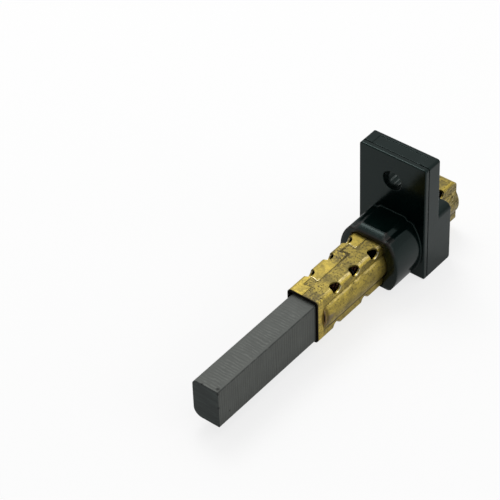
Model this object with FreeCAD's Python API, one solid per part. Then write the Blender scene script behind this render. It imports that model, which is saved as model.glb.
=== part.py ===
import FreeCAD, Part
import math
import os

# Spring-loaded carbon brush of an electric motor, in its guide tube and holder.
# Millimetres. X runs across the brush, Y along it towards the rear, Z up.
# The origin is on the guide tube's axis, at the front face of the holder's flange.

V = FreeCAD.Vector
FORWARD = V(0, -1, 0)
REARWARD = V(0, 1, 0)
ACROSS = V(1, 0, 0)
UP = V(0, 0, 1)

# Carbon block
CARBON_WIDTH = 6.3
CARBON_HEIGHT = 9.2
CARBON_LENGTH = 33.5
CARBON_REACH = 29.7
CARBON_TOP_ROUND = 1.2
CARBON_BOTTOM_ROUND = 1.9
CARBON_EDGE_BREAK = 0.2

# Copper flex and its tamped seat in the carbon
FLEX_DIAMETER = 1.8
FLEX_SEAT_DEPTH = 5.0
FLEX_CLEARANCE = 0.05
TAMPING_DIAMETER = 3.2
TAMPING_DEPTH = 6.5
FLEX_HEAD_DIAMETER = 3.4
FLEX_HEAD_THICKNESS = 0.5

# Folded sheet guide tube
SHEET = 0.4
CARBON_SIDE_CLEARANCE = 0.15
CARBON_TOP_CLEARANCE = 0.5
CARBON_UNDER_CLEARANCE = 0.1
TUBE_FRONT = 29.3
TUBE_TAIL = 17.5
FOLD_ROUND = 0.8
BULGE_RADIUS = 4.7
BULGE_START = 2.1
BULGE_FRONT_RADIUS = 4.3
BULGE_TAPER = 1.8
TAIL_BEND = 1.4

# Windows punched on the tube's folds
WINDOW_RADIUS = 1.28
WINDOW_FIRST = 6.25
WINDOW_PITCH = 6.15
TOP_WINDOWS = 3
LOWER_WINDOW_PITCH = 9.2
LOWER_WINDOWS = 2
TAIL_WINDOW_BACK = 11.8

# Jigsaw seam along the tube's top wall
SEAM_OFFSET = -0.2
SEAM_GAP = 0.08
SEAM_TAB_FIRST = 4.2
SEAM_TAB_PITCH = 12.2
SEAM_TABS = 4
SEAM_TAB_DEPTH = 1.8
SEAM_TAB_NECK = 2.0
SEAM_TAB_HEAD = 2.6

# Pressure spring
SPRING_WIRE = 0.55
SPRING_TURNS = 12
SPRING_CLOSED_TURNS = 1
SPRING_CHORDS = 14
SPRING_SIDES = 6
SPRING_CLEARANCE = 0.25
SPRING_SEAT_GAP = 0.05
CLOSED_COIL_GAP = 0.02

# Moulded holder
FLANGE_WIDTH = 16.2
FLANGE_HEIGHT = 28.5
FLANGE_THICKNESS = 4.9
FLANGE_BOTTOM = 7.4
FLANGE_CORNER = 0.6
FOOT_ROUND = 0.6
HOLDER_EDGE = 0.25
HOLDER_FIT = 0.05
COLLAR_WIDTH = 14.1
COLLAR_OVAL_HEIGHT = 17.4
COLLAR_OFFSET = 0.3
COLLAR_LENGTH = 8.2
COLLAR_TOP = 7.15
COLLAR_SHOULDER = 6.45
COLLAR_BOTTOM = 5.7
COLLAR_LAND = 7.4
COLLAR_SLOPE_LENGTH = 1.4
COLLAR_SLOPE_DROP = 0.65
COLLAR_SHOULDER_ROUND = 0.6
COLLAR_LOWER_ROUND = 1.5
COLLAR_LEAD_IN = 0.3
COLLAR_ROOT = 0.2
BLOCK_DEPTH = 4.3
BLOCK_TOP = 7.0
BLOCK_ROUND = 1.4
SCREW_HOLE_RADIUS = 2.25
SCREW_HOLE_HEIGHT = 14.9
PARTING_SETBACK = 1.02
PARTING_WIDTH = 0.26
PARTING_DEPTH = 0.25
INSET_MARGIN = 2.2
INSET_START = 1.2
INSET_END = 4.0
INSET_DEPTH = 0.1
CUTTER_OVERSHOOT = 1.0

# Sizes that follow from those above
TUBE_INNER_WIDTH = CARBON_WIDTH + 2 * CARBON_SIDE_CLEARANCE
TUBE_INNER_HEIGHT = CARBON_HEIGHT + CARBON_TOP_CLEARANCE + CARBON_UNDER_CLEARANCE
TUBE_WIDTH = TUBE_INNER_WIDTH + 2 * SHEET
TUBE_HEIGHT = TUBE_INNER_HEIGHT + 2 * SHEET
CARBON_TIP_Y = -TUBE_FRONT - CARBON_REACH
CARBON_REAR_Y = CARBON_TIP_Y + CARBON_LENGTH
CARBON_DROP = (CARBON_TOP_CLEARANCE - CARBON_UNDER_CLEARANCE) / 2
FLAP_Y = TUBE_TAIL - SHEET
SLIT_Y = -TUBE_FRONT + BULGE_START
FLANGE_TOP = FLANGE_HEIGHT - FLANGE_BOTTOM
BLOCK_BACK_Y = FLANGE_THICKNESS + BLOCK_DEPTH


def bar(width, height, start, end):
    """Square-edged bar along Y, centred on the tube's axis."""
    return Part.makeBox(width, end - start, height, V(-width / 2, start, -height / 2))


def rounded_bar(width, height, radius, start, end):
    """Bar along Y with its four long edges rounded."""
    solid = bar(width, height, start, end)
    if radius <= 0:
        return solid
    return solid.makeFillet(radius, long_edges(solid))


def long_edges(solid):
    """The edges of a solid that run along Y."""
    return [edge for edge in solid.Edges if runs_along(edge, REARWARD)]


def runs_along(edge, direction):
    """True for a straight edge parallel to a direction."""
    if len(edge.Vertexes) < 2 or edge.Curve.TypeId != "Part::GeomLine":
        return False
    along = edge.Vertexes[1].Point - edge.Vertexes[0].Point
    return along.normalize().cross(direction).Length < 1e-6


def rod(radius, start, end, x=0.0, z=0.0):
    """Cylinder along Y."""
    return Part.makeCylinder(radius, end - start, V(x, start, z), REARWARD)


def bulged_bar(width, height, fold, bulge, start, end):
    """Rounded bar whose wide sides swell to a cylinder about the same axis."""
    return rounded_bar(width, height, fold, start, end).fuse(rod(bulge, start, end)).removeSplitter()


def carbon_block():
    """Pressed carbon bar with a tamped flex seat in its rear end."""
    block = bar(CARBON_WIDTH, CARBON_HEIGHT, CARBON_TIP_Y, CARBON_REAR_Y)
    for edge_radius, side, level in (
        (CARBON_TOP_ROUND, -1, 1),
        (CARBON_BOTTOM_ROUND, -1, -1),
        (CARBON_EDGE_BREAK, 1, 1),
        (CARBON_EDGE_BREAK, 1, -1),
    ):
        corner = [
            edge
            for edge in long_edges(block)
            if edge.CenterOfMass.x * side > CARBON_WIDTH * 0.45
            and edge.CenterOfMass.z * level > CARBON_HEIGHT * 0.45
        ]
        block = block.makeFillet(edge_radius, corner)
    block.translate(UP * -CARBON_DROP)
    seat = rod(TAMPING_DIAMETER / 2, CARBON_REAR_Y - TAMPING_DEPTH, CARBON_REAR_Y)
    return block.cut(seat)


def tamping_plug():
    """Tamped copper powder that holds the flex in the carbon."""
    plug = rod(TAMPING_DIAMETER / 2, CARBON_REAR_Y - TAMPING_DEPTH, CARBON_REAR_Y)
    bore = rod(FLEX_DIAMETER / 2 + FLEX_CLEARANCE, CARBON_REAR_Y - FLEX_SEAT_DEPTH, CARBON_REAR_Y)
    return plug.cut(bore)


def copper_flex():
    """Flexible lead from the carbon to the tube's end flap, flattened behind the flap."""
    lead = rod(FLEX_DIAMETER / 2, CARBON_REAR_Y - FLEX_SEAT_DEPTH + FLEX_CLEARANCE, TUBE_TAIL)
    head = rod(FLEX_HEAD_DIAMETER / 2, TUBE_TAIL, TUBE_TAIL + FLEX_HEAD_THICKNESS)
    rim = [edge for edge in head.Edges if edge.CenterOfMass.y > TUBE_TAIL + FLEX_HEAD_THICKNESS / 2]
    head = head.makeChamfer(FLEX_HEAD_THICKNESS / 3, rim)
    return lead.fuse(head)


def window_cutter(y, side, level):
    """A round hole punched in the flat sheet on a fold: half of it lies in each wall."""
    neutral_radius = FOLD_ROUND - SHEET / 2
    centre_inset = FOLD_ROUND - neutral_radius * math.pi / 4
    reach = FOLD_ROUND - (FOLD_ROUND - SHEET) * math.cos(math.pi / 4)
    x = side * TUBE_WIDTH / 2
    z = level * TUBE_HEIGHT / 2
    flat = Part.makeCylinder(
        WINDOW_RADIUS, 2 * reach, V(x - side * centre_inset, y, z - level * reach), UP * level
    )
    upright = Part.makeCylinder(
        WINDOW_RADIUS, 2 * reach, V(x - side * reach, y, z - level * centre_inset), ACROSS * side
    )
    return flat.fuse(upright)


def windows():
    """Every window of the guide tube."""
    first = -TUBE_FRONT + WINDOW_FIRST
    top = [first + index * WINDOW_PITCH for index in range(TOP_WINDOWS)]
    top.append(TAIL_WINDOW_BACK)
    lower = [first + index * LOWER_WINDOW_PITCH for index in range(LOWER_WINDOWS)]
    cutters = []
    for side in (-1, 1):
        cutters += [window_cutter(y, side, 1) for y in top]
        cutters += [window_cutter(y, side, -1) for y in lower]
    return cutters


def seam_path():
    """Corner points of the butt seam, seen from above, with its jigsaw tabs."""
    points = [(SEAM_OFFSET, -TUBE_FRONT - SEAM_GAP)]
    for index in range(SEAM_TABS):
        y = -TUBE_FRONT + SEAM_TAB_FIRST + index * SEAM_TAB_PITCH
        if y + SEAM_TAB_HEAD > FLAP_Y:
            break
        tip = SEAM_OFFSET - SEAM_TAB_DEPTH
        points += [
            (SEAM_OFFSET, y - SEAM_TAB_NECK / 2),
            (tip, y - SEAM_TAB_HEAD / 2),
            (tip, y + SEAM_TAB_HEAD / 2),
            (SEAM_OFFSET, y + SEAM_TAB_NECK / 2),
        ]
    points.append((SEAM_OFFSET, TUBE_TAIL - TAIL_BEND))
    return points


def seam_cutter():
    """Narrow slot that follows the seam through the top wall."""
    wall_z = TUBE_INNER_HEIGHT / 2 - SHEET / 2
    strips = []
    points = seam_path()
    for (x0, y0), (x1, y1) in zip(points, points[1:]):
        length = math.hypot(x1 - x0, y1 - y0)
        strip = Part.makeBox(length + SEAM_GAP, SEAM_GAP, 2 * SHEET, V(-SEAM_GAP / 2, -SEAM_GAP / 2, 0))
        strip.rotate(V(0, 0, 0), UP, math.degrees(math.atan2(y1 - y0, x1 - x0)))
        strip.translate(V(x0, y0, wall_z))
        strips.append(strip)
    return strips[0].fuse(strips[1:])


def guide_tube():
    """Tube folded from one sheet, with bulged sides, windows, seam and end flap."""
    inner_fold = max(FOLD_ROUND - SHEET, 0.0)
    shell = rounded_bar(TUBE_WIDTH, TUBE_HEIGHT, FOLD_ROUND, -TUBE_FRONT, TUBE_TAIL)
    space = rounded_bar(TUBE_INNER_WIDTH, TUBE_INNER_HEIGHT, inner_fold, -TUBE_FRONT, FLAP_Y)
    shell = shell.fuse(bulge(0)).cut(bend_cutter(0))
    space = space.fuse(bulge(SHEET)).cut(bend_cutter(SHEET))
    hole = rod(FLEX_DIAMETER / 2 + FLEX_CLEARANCE, FLAP_Y - SHEET, TUBE_TAIL)
    return shell.cut([space, hole, seam_cutter()] + windows()).removeSplitter()


def bulge(inset):
    """Round swelling of the side walls, lanced open at its tapered front end."""
    taper_end = SLIT_Y + BULGE_TAPER
    taper = Part.makeCone(
        BULGE_FRONT_RADIUS - inset, BULGE_RADIUS - inset, BULGE_TAPER, V(0, SLIT_Y, 0), REARWARD
    )
    return taper.fuse(rod(BULGE_RADIUS - inset, taper_end, FLAP_Y))


def bend_cutter(inset):
    """Corner taken off where the top wall bends down into the end flap."""
    radius = TAIL_BEND - inset
    top = TUBE_HEIGHT / 2 - inset
    rear = TUBE_TAIL - inset
    corner = Part.makeBox(
        2 * TUBE_WIDTH, radius + SHEET, radius + SHEET, V(-TUBE_WIDTH, rear - radius, top - radius)
    )
    roller = Part.makeCylinder(
        radius, 2 * TUBE_WIDTH, V(-TUBE_WIDTH, rear - radius, top - radius), ACROSS
    )
    return corner.cut(roller)


def coil_height(turn, length):
    """Height of the coil's centre line after some turns: close at both ends, open between."""
    closed_pitch = SPRING_WIRE + CLOSED_COIL_GAP
    active_turns = SPRING_TURNS - 2 * SPRING_CLOSED_TURNS
    active_length = length - SPRING_WIRE - 2 * SPRING_CLOSED_TURNS * closed_pitch
    closed_before = min(turn, SPRING_CLOSED_TURNS)
    active = min(max(turn - SPRING_CLOSED_TURNS, 0), active_turns)
    closed_after = max(turn - SPRING_CLOSED_TURNS - active_turns, 0)
    rise = (closed_before + closed_after) * closed_pitch + active * active_length / active_turns
    return SPRING_WIRE / 2 + rise


def wire_section(angle, coil_radius, y):
    """Outline of the spring wire where the coil has turned by an angle."""
    outward = V(math.cos(angle), 0, math.sin(angle))
    corners = []
    for index in range(SPRING_SIDES):
        turn = 2 * math.pi * (index + 0.5) / SPRING_SIDES
        reach = coil_radius + SPRING_WIRE / 2 * math.cos(turn)
        corners.append(outward * reach + V(0, y + SPRING_WIRE / 2 * math.sin(turn), 0))
    return Part.makePolygon(corners + corners[:1])


def pressure_spring():
    """Coil spring between the carbon and the end flap, with one closed turn at each end."""
    start = CARBON_REAR_Y + SPRING_SEAT_GAP
    length = FLAP_Y - SPRING_SEAT_GAP - start
    coil_radius = BULGE_RADIUS - SHEET - SPRING_CLEARANCE - SPRING_WIRE / 2
    sections = []
    for step in range(SPRING_TURNS * SPRING_CHORDS + 1):
        turn = step / SPRING_CHORDS
        y = start + coil_height(turn, length)
        sections.append(wire_section(2 * math.pi * turn, coil_radius, y))
    return Part.makeLoft(sections, True, True)


def tube_passage(start, end, clearance):
    """Space that the bulged tube takes in the holder, with a clearance all round."""
    return bulged_bar(
        TUBE_WIDTH + 2 * clearance,
        TUBE_HEIGHT + 2 * clearance,
        FOLD_ROUND + clearance,
        BULGE_RADIUS + clearance,
        start,
        end,
    )


def flange():
    """Upright plate with the screw hole, seated on the motor's bracket."""
    plate = Part.makeBox(
        FLANGE_WIDTH, FLANGE_THICKNESS, FLANGE_HEIGHT, V(-FLANGE_WIDTH / 2, 0, -FLANGE_BOTTOM)
    )
    toe = [edge for edge in plate.Edges if runs_along(edge, ACROSS) and is_at(edge, 0, False)]
    plate = plate.makeFillet(FOOT_ROUND, toe)
    corners = [edge for edge in long_edges(plate) if edge.CenterOfMass.z > 0]
    plate = plate.makeFillet(FLANGE_CORNER, corners)
    front = [edge for edge in plate.Edges if runs_along(edge, UP) and is_at(edge, 0, True)]
    plate = plate.makeFillet(HOLDER_EDGE, front)
    rear = [
        edge for edge in plate.Edges if runs_along(edge, ACROSS) and is_at(edge, FLANGE_THICKNESS, True)
    ]
    return plate.makeFillet(HOLDER_EDGE, rear)


def is_at(edge, y, upper):
    """True for an edge in the plane at y, either above the holder's underside or on it."""
    centre = edge.CenterOfMass
    return abs(centre.y - y) < 1e-6 and (centre.z > -FLANGE_BOTTOM * 0.9) == upper


def rear_block():
    """Thick lower part behind the flange, with rounded shoulders."""
    height = BLOCK_TOP + FLANGE_BOTTOM
    block = Part.makeBox(
        FLANGE_WIDTH, BLOCK_BACK_Y, height, V(-FLANGE_WIDTH / 2, 0, -FLANGE_BOTTOM)
    )
    heel = [
        edge for edge in block.Edges if runs_along(edge, ACROSS) and is_at(edge, BLOCK_BACK_Y, False)
    ]
    block = block.makeFillet(FOOT_ROUND, heel)
    shoulders = [edge for edge in long_edges(block) if edge.CenterOfMass.z > 0]
    block = block.makeFillet(BLOCK_ROUND, shoulders)
    back = [edge for edge in block.Edges if runs_along(edge, UP) and is_at(edge, BLOCK_BACK_Y, True)]
    block = block.makeFillet(HOLDER_EDGE, back)
    keep = bar(2 * FLANGE_WIDTH, 4 * height, FLANGE_THICKNESS / 2, 2 * BLOCK_BACK_Y)
    return block.common(keep)


def collar():
    """Oval spigot in front of the flange, flat above and below, with a raised land and a front slope."""
    back = FLANGE_THICKNESS / 2
    length = COLLAR_LENGTH + back
    front = V(COLLAR_OFFSET, -COLLAR_LENGTH, 0)
    flats = Part.makeBox(
        2 * COLLAR_WIDTH, length, COLLAR_SHOULDER + COLLAR_BOTTOM,
        front - V(COLLAR_WIDTH, length / 2, COLLAR_BOTTOM),
    )
    spigot = oval(front).common(flats).Faces[0].extrude(REARWARD * length)
    shoulders = [edge for edge in long_edges(spigot) if edge.CenterOfMass.z > 0]
    spigot = spigot.makeFillet(COLLAR_SHOULDER_ROUND, shoulders)
    lower = [edge for edge in long_edges(spigot) if edge.CenterOfMass.z < -COLLAR_BOTTOM * 0.9]
    spigot = spigot.makeFillet(COLLAR_LOWER_ROUND, lower)
    land = Part.makeBox(COLLAR_LAND, length, COLLAR_TOP, front - V(COLLAR_LAND / 2, 0, 0))
    rims = [edge for edge in long_edges(land) if edge.CenterOfMass.z > COLLAR_TOP * 0.9]
    land = land.makeChamfer(COLLAR_TOP - COLLAR_SHOULDER, rims)
    return spigot.fuse(land).removeSplitter().cut(front_slope(front))


def oval(centre):
    """Upright oval face across the tube's axis."""
    top = centre + UP * (COLLAR_OVAL_HEIGHT / 2)
    side = centre + ACROSS * (COLLAR_WIDTH / 2)
    return Part.Face(Part.Wire(Part.Ellipse(top, side, centre).toShape()))


def front_slope(front):
    """Wedge that takes off the collar's top front edge."""
    corner = front + V(-COLLAR_WIDTH, 0, COLLAR_TOP)
    slope = Part.makePolygon(
        [
            corner - UP * COLLAR_SLOPE_DROP,
            corner + REARWARD * COLLAR_SLOPE_LENGTH,
            corner,
            corner - UP * COLLAR_SLOPE_DROP,
        ]
    )
    return Part.Face(slope).extrude(ACROSS * 2 * COLLAR_WIDTH)


def collar_root(body):
    """Edges where the collar meets the flange's front face."""
    return [
        edge
        for edge in body.Edges
        if abs(edge.BoundBox.YMin) < 1e-6
        and abs(edge.BoundBox.YMax) < 1e-6
        and edge.BoundBox.XMax <= COLLAR_OFFSET + COLLAR_WIDTH / 2 + 1e-6
        and edge.BoundBox.XMin >= COLLAR_OFFSET - COLLAR_WIDTH / 2 - 1e-6
        and edge.BoundBox.ZMax <= COLLAR_TOP + 1e-6
        and edge.BoundBox.ZMin >= -COLLAR_BOTTOM - 1e-6
    ]


def parting_groove():
    """Fine line round the flange where the two mould halves met."""
    outer = parting_frame(CUTTER_OVERSHOOT)
    inner = parting_frame(-PARTING_DEPTH)
    return outer.cut(inner)


def parting_frame(margin):
    """Thin slab of the flange's outline, wider by a margin all round."""
    return Part.makeBox(
        FLANGE_WIDTH + 2 * margin, PARTING_WIDTH, FLANGE_HEIGHT + 2 * margin,
        V(-FLANGE_WIDTH / 2 - margin, PARTING_SETBACK, -FLANGE_BOTTOM - margin),
    )


def top_inset():
    """Shallow rectangular field left by the mould on the flange's top edge."""
    width = FLANGE_WIDTH - 2 * INSET_MARGIN
    return Part.makeBox(
        width, INSET_END - INSET_START, 2 * INSET_DEPTH,
        V(-width / 2, INSET_START, FLANGE_TOP - INSET_DEPTH),
    )


def holder():
    """One moulding: flange, front collar and rear block round the guide tube."""
    body = flange().fuse([rear_block(), collar()]).removeSplitter()
    body = body.makeFillet(COLLAR_ROOT, collar_root(body))
    screw_hole = rod(
        SCREW_HOLE_RADIUS, -CUTTER_OVERSHOOT, BLOCK_BACK_Y + CUTTER_OVERSHOOT, 0, SCREW_HOLE_HEIGHT
    )
    passage = tube_passage(-COLLAR_LENGTH, BLOCK_BACK_Y, HOLDER_FIT)
    lead_in = tube_passage(-COLLAR_LENGTH, -COLLAR_LENGTH + COLLAR_LEAD_IN, COLLAR_LEAD_IN)
    return body.cut([screw_hole, passage, lead_in, parting_groove(), top_inset()])


PIECES = {
    "carbon_block": carbon_block,
    "tamping_plug": tamping_plug,
    "copper_flex": copper_flex,
    "guide_tube": guide_tube,
    "pressure_spring": pressure_spring,
    "holder": holder,
}

os.makedirs("parts", exist_ok=True)
for name, make in PIECES.items():
    piece = make()
    print(name, "solids", len(piece.Solids), "valid", piece.isValid(), "volume", round(piece.Volume, 2))
    piece.exportStep("parts/" + name + ".step")
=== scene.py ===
import math

import bpy
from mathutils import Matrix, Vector


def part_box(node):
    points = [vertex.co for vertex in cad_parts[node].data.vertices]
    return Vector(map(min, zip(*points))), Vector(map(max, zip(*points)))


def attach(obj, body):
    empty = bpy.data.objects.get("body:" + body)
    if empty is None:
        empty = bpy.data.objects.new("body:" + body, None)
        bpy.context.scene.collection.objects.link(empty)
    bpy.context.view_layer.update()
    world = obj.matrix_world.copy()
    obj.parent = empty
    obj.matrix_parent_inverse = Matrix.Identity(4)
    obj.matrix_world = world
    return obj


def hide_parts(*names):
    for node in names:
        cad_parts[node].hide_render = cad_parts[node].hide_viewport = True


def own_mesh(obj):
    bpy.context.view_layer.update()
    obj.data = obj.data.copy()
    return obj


bl_info = {
    "name": "Carbon Brush",
    "version": (1, 0, 0),
    "blender": (4, 5, 0),
    "location": "View3D > Sidebar > Carbon Brush",
    "description": "Finishes, spring, flex and studio stage of a motor's carbon brush",
    "category": "Object",
}

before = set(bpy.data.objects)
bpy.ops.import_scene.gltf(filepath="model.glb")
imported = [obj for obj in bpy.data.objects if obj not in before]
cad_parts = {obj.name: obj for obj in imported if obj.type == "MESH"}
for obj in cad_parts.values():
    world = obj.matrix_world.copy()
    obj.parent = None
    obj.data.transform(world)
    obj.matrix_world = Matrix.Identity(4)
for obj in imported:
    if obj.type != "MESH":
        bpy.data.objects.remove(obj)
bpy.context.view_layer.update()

MM = 0.001

# Places in the brush's frame, in millimetres
CARBON_LOW, CARBON_HIGH = (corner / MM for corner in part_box("carbon_block"))
TUBE_LOW, TUBE_HIGH = (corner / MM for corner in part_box("guide_tube"))
SPRING_LOW, SPRING_HIGH = (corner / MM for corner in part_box("pressure_spring"))
FLEX_LOW, FLEX_HIGH = (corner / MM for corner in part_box("copper_flex"))
HOLDER_LOW, HOLDER_HIGH = (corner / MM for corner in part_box("holder"))

# The folded tube's form, in millimetres
TUBE_HALF_WIDTH = 3.7
TUBE_HALF_HEIGHT = TUBE_HIGH.z
SHEET = 0.4
BULGE_RADIUS = TUBE_HIGH.x
SLIT_Y = TUBE_LOW.y + 2.1
SEAM_X = -0.2
SEAM_TAB_FIRST = TUBE_LOW.y + 4.2
SEAM_TAB_PITCH = 12.2
SEAM_TAB_DEPTH = 1.8
SEAM_TAB_HALF_NECK = 1.0
SEAM_TAB_SPREAD = 0.17

# The round windows on the tube's folds, in millimetres
WINDOW_FIRST = TUBE_LOW.y + 6.25
WINDOW_PITCH = 6.15
WINDOW_Z = TUBE_HALF_HEIGHT - 0.33
WINDOW_RADIUS = 1.28

# The holder's screw hole, in millimetres
SCREW_Z = 14.9
SCREW_RADIUS = 2.25

# Stains on the tube's top, in millimetres
REAR_STAIN = (-1.6, -15.0, TUBE_HALF_HEIGHT)
FRONT_STAIN = (2.5, TUBE_LOW.y + 0.9, TUBE_HALF_HEIGHT)

# Chips on the carbon's edges: place and reach in millimetres
CARBON_CHIPS = (
    ((CARBON_HIGH.x, CARBON_LOW.y, 3.9), 0.55),
    ((CARBON_HIGH.x, CARBON_LOW.y, 0.3), 0.50),
    ((CARBON_HIGH.x, CARBON_LOW.y, CARBON_LOW.z), 0.70),
    ((2.5, CARBON_LOW.y + 0.8, CARBON_HIGH.z), 0.60),
    ((CARBON_HIGH.x, CARBON_LOW.y + 3.1, -2.7), 0.35),
    ((-0.8, CARBON_LOW.y, CARBON_HIGH.z), 0.45),
)

# Colours of small marks on the carbon, the painted shade of its tip among them
TIP_SHADE_COLOUR = (0.046, 0.056, 0.054)
TIP_LEVEL_COLOUR = (0.080, 0.100, 0.094)
ARRIS_COLOUR = (0.020, 0.024, 0.022)
CHIP_COLOUR = (0.008, 0.009, 0.008)

# Colours of small marks on the brass, painted highlights and painted shade among them
FOLD_HIGHLIGHT_COLOUR = (0.98, 0.80, 0.36)
TAB_RIM_HIGHLIGHT_COLOUR = (1.0, 0.90, 0.56)
LIT_LINE_COLOUR = (0.92, 0.75, 0.32)
FLECK_COLOUR = (0.95, 0.82, 0.48)
CRESCENT_COLOUR = (1.0, 0.92, 0.68)
RECESS_SHADE_COLOUR = (0.170, 0.112, 0.008)
BEHIND_SLIT_SHADE_COLOUR = (0.12, 0.08, 0.02)
CUT_COLOUR = (0.60, 0.46, 0.38)
PUNCHED_COLOUR = (0.75, 0.66, 0.42)

# Colours of small marks on the moulding, a painted highlight and painted reflections among them
WORN_ARRIS_COLOUR = (0.010, 0.013, 0.012)
SLOPE_HIGHLIGHT_COLOUR = (0.075, 0.052, 0.050)
BORE_REFLECTION_COLOUR = (0.30, 0.33, 0.32)

# How finely the round pieces are divided
WIRE_SIDES = 10
STRAND_SIDES = 8
HEAD_SIDES = 32
STEPS_PER_COIL_TURN = 28
STEPS_PER_LAY = 14

# Sockets of the mix node that carry its share and its two colours
MIX_INPUTS = (0, 6, 7)
MIX_OUTPUT = 2

# The floor, in metres, and its greys and own glow
FLOOR_HALF = 3.0
FLOOR_GAP = 0.00002
FLOOR_AS_LIGHT = (0.40, 0.40, 0.40)
FLOOR_REFLECTED = (0.50, 0.50, 0.50)
FLOOR_SEEN = (0.24, 0.24, 0.24)
GLOW_REFLECTED = 0.22
GLOW_SEEN = 0.76

# The studio, in metres and degrees, and where its walls change from dark to light
WALL_RISE = (0.20, 0.75)
WALL_DEPTH = (-0.70, 0.10)
OVERHEAD_PLACE = (-0.20, 0.10, 0.41)
OVERHEAD_WIDTH = 0.20
SIDE_PLACE = (0.42, 0.10, 0.16)
SIDE_WIDTH = 0.25
LAMP_AIM = (0.0, -0.02, 0.0)
CAMERA_PLACE = (0.206405, -0.287787, 0.309320)
CAMERA_TURN = (48.576, 1.712, 38.790)
CAMERA_LENS = 166.76

# Place of the tube's end flap, just behind the spring, where the flex's strands end
FLAP_Y = SPRING_HIGH.y + 0.05


class CarbonSettings(bpy.types.PropertyGroup):
    """Finish of the pressed carbon block."""

    colour: bpy.props.FloatVectorProperty(
        name="Carbon colour",
        description="Grey of the pressed carbon and graphite",
        subtype="COLOR",
        default=(0.106, 0.113, 0.104),
        min=0.0,
        max=1.0,
    )
    streak_pitch: bpy.props.FloatProperty(
        name="Streak pitch",
        description="Distance between the grinding marks across the block",
        subtype="DISTANCE",
        unit="LENGTH",
        default=0.00058,
        min=0.0001,
        max=0.005,
    )
    streak_depth: bpy.props.FloatProperty(
        name="Streak depth",
        description="Depth of the grinding marks",
        subtype="DISTANCE",
        unit="LENGTH",
        default=0.000012,
        min=0.0,
        max=0.0002,
    )


class BrassSettings(bpy.types.PropertyGroup):
    """Finish of the folded brass tube."""

    colour: bpy.props.FloatVectorProperty(
        name="Brass colour",
        description="Yellow of the cleaner brass",
        subtype="COLOR",
        default=(0.625, 0.470, 0.084),
        min=0.0,
        max=1.0,
    )
    tarnish_colour: bpy.props.FloatVectorProperty(
        name="Tarnish colour",
        description="Olive brown of the tarnished brass",
        subtype="COLOR",
        default=(0.204, 0.163, 0.050),
        min=0.0,
        max=1.0,
    )
    stain_colour: bpy.props.FloatVectorProperty(
        name="Stain colour",
        description="Grey brown of the scuffed and stained places",
        subtype="COLOR",
        default=(0.090, 0.075, 0.045),
        min=0.0,
        max=1.0,
    )
    worn_colour: bpy.props.FloatVectorProperty(
        name="Worn colour",
        description="Grey of the rubbed cut edge and of the bulge's front end",
        subtype="COLOR",
        default=(0.230, 0.190, 0.160),
        min=0.0,
        max=1.0,
    )
    # Its black also serves as the painted shade in the creases and on the tube's inner faces, and as
    # the black at the mouth
    soot_and_shade_colour: bpy.props.FloatVectorProperty(
        name="Soot colour",
        description="Carbon dust and oxide in the creases, the cut edges and the inside",
        subtype="COLOR",
        default=(0.012, 0.010, 0.008),
        min=0.0,
        max=1.0,
    )
    speckle: bpy.props.FloatProperty(
        name="Speckle size",
        description="Size of the dark pits",
        subtype="DISTANCE",
        unit="LENGTH",
        default=0.00014,
        min=0.00005,
        max=0.002,
    )


class MouldingSettings(bpy.types.PropertyGroup):
    """Finish of the moulded holder."""

    colour: bpy.props.FloatVectorProperty(
        name="Moulding colour",
        description="Black of the moulded plastic",
        subtype="COLOR",
        default=(0.0003, 0.0028, 0.0024),
        min=0.0,
        max=1.0,
    )
    roughness: bpy.props.FloatProperty(
        name="Roughness",
        description="Roughness of the polished mould faces",
        subtype="FACTOR",
        default=0.14,
        min=0.0,
        max=1.0,
    )


class SpringSettings(bpy.types.PropertyGroup):
    """Sizes of the pressure spring."""

    wire: bpy.props.FloatProperty(
        name="Wire diameter",
        description="Diameter of the spring wire",
        subtype="DISTANCE",
        unit="LENGTH",
        default=0.00055,
        min=0.0001,
        max=0.002,
    )
    turns: bpy.props.IntProperty(
        name="Turns",
        description="Turns of the spring, the closed end turns among them",
        default=12,
        min=3,
        max=60,
    )
    colour: bpy.props.FloatVectorProperty(
        name="Spring colour",
        description="Grey of the spring steel",
        subtype="COLOR",
        default=(0.070, 0.068, 0.066),
        min=0.0,
        max=1.0,
    )


class FlexSettings(bpy.types.PropertyGroup):
    """Sizes and colours of the copper flex."""

    diameter: bpy.props.FloatProperty(
        name="Flex diameter",
        description="Diameter over all strands",
        subtype="DISTANCE",
        unit="LENGTH",
        default=0.0018,
        min=0.0005,
        max=0.01,
    )
    lay: bpy.props.FloatProperty(
        name="Lay length",
        description="Length in which a strand goes once round",
        subtype="DISTANCE",
        unit="LENGTH",
        default=0.009,
        min=0.002,
        max=0.05,
    )
    colour: bpy.props.FloatVectorProperty(
        name="Copper colour",
        description="Red brown of the aged copper",
        subtype="COLOR",
        default=(0.130, 0.056, 0.034),
        min=0.0,
        max=1.0,
    )


class StageSettings(bpy.types.PropertyGroup):
    """Light levels of the studio."""

    overhead_power: bpy.props.FloatProperty(
        name="Overhead lamp",
        description="Power of the large lamp above and to the left",
        unit="POWER",
        default=0.70,
        min=0.0,
        max=100.0,
    )
    side_power: bpy.props.FloatProperty(
        name="Side lamp",
        description="Power of the lamp low on the right",
        unit="POWER",
        default=0.34,
        min=0.0,
        max=100.0,
    )
    horizon: bpy.props.FloatProperty(
        name="Horizon",
        description="Level of the studio's walls near the floor",
        subtype="FACTOR",
        default=0.55,
        min=0.0,
        max=1.0,
    )
    front: bpy.props.FloatProperty(
        name="Front",
        description="Share of the light that is left on the camera's side of the studio",
        subtype="FACTOR",
        default=0.30,
        min=0.0,
        max=1.0,
    )
    ceiling: bpy.props.FloatProperty(
        name="Ceiling",
        description="Level of the studio's ceiling",
        subtype="FACTOR",
        default=0.85,
        min=0.0,
        max=1.0,
    )


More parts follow.
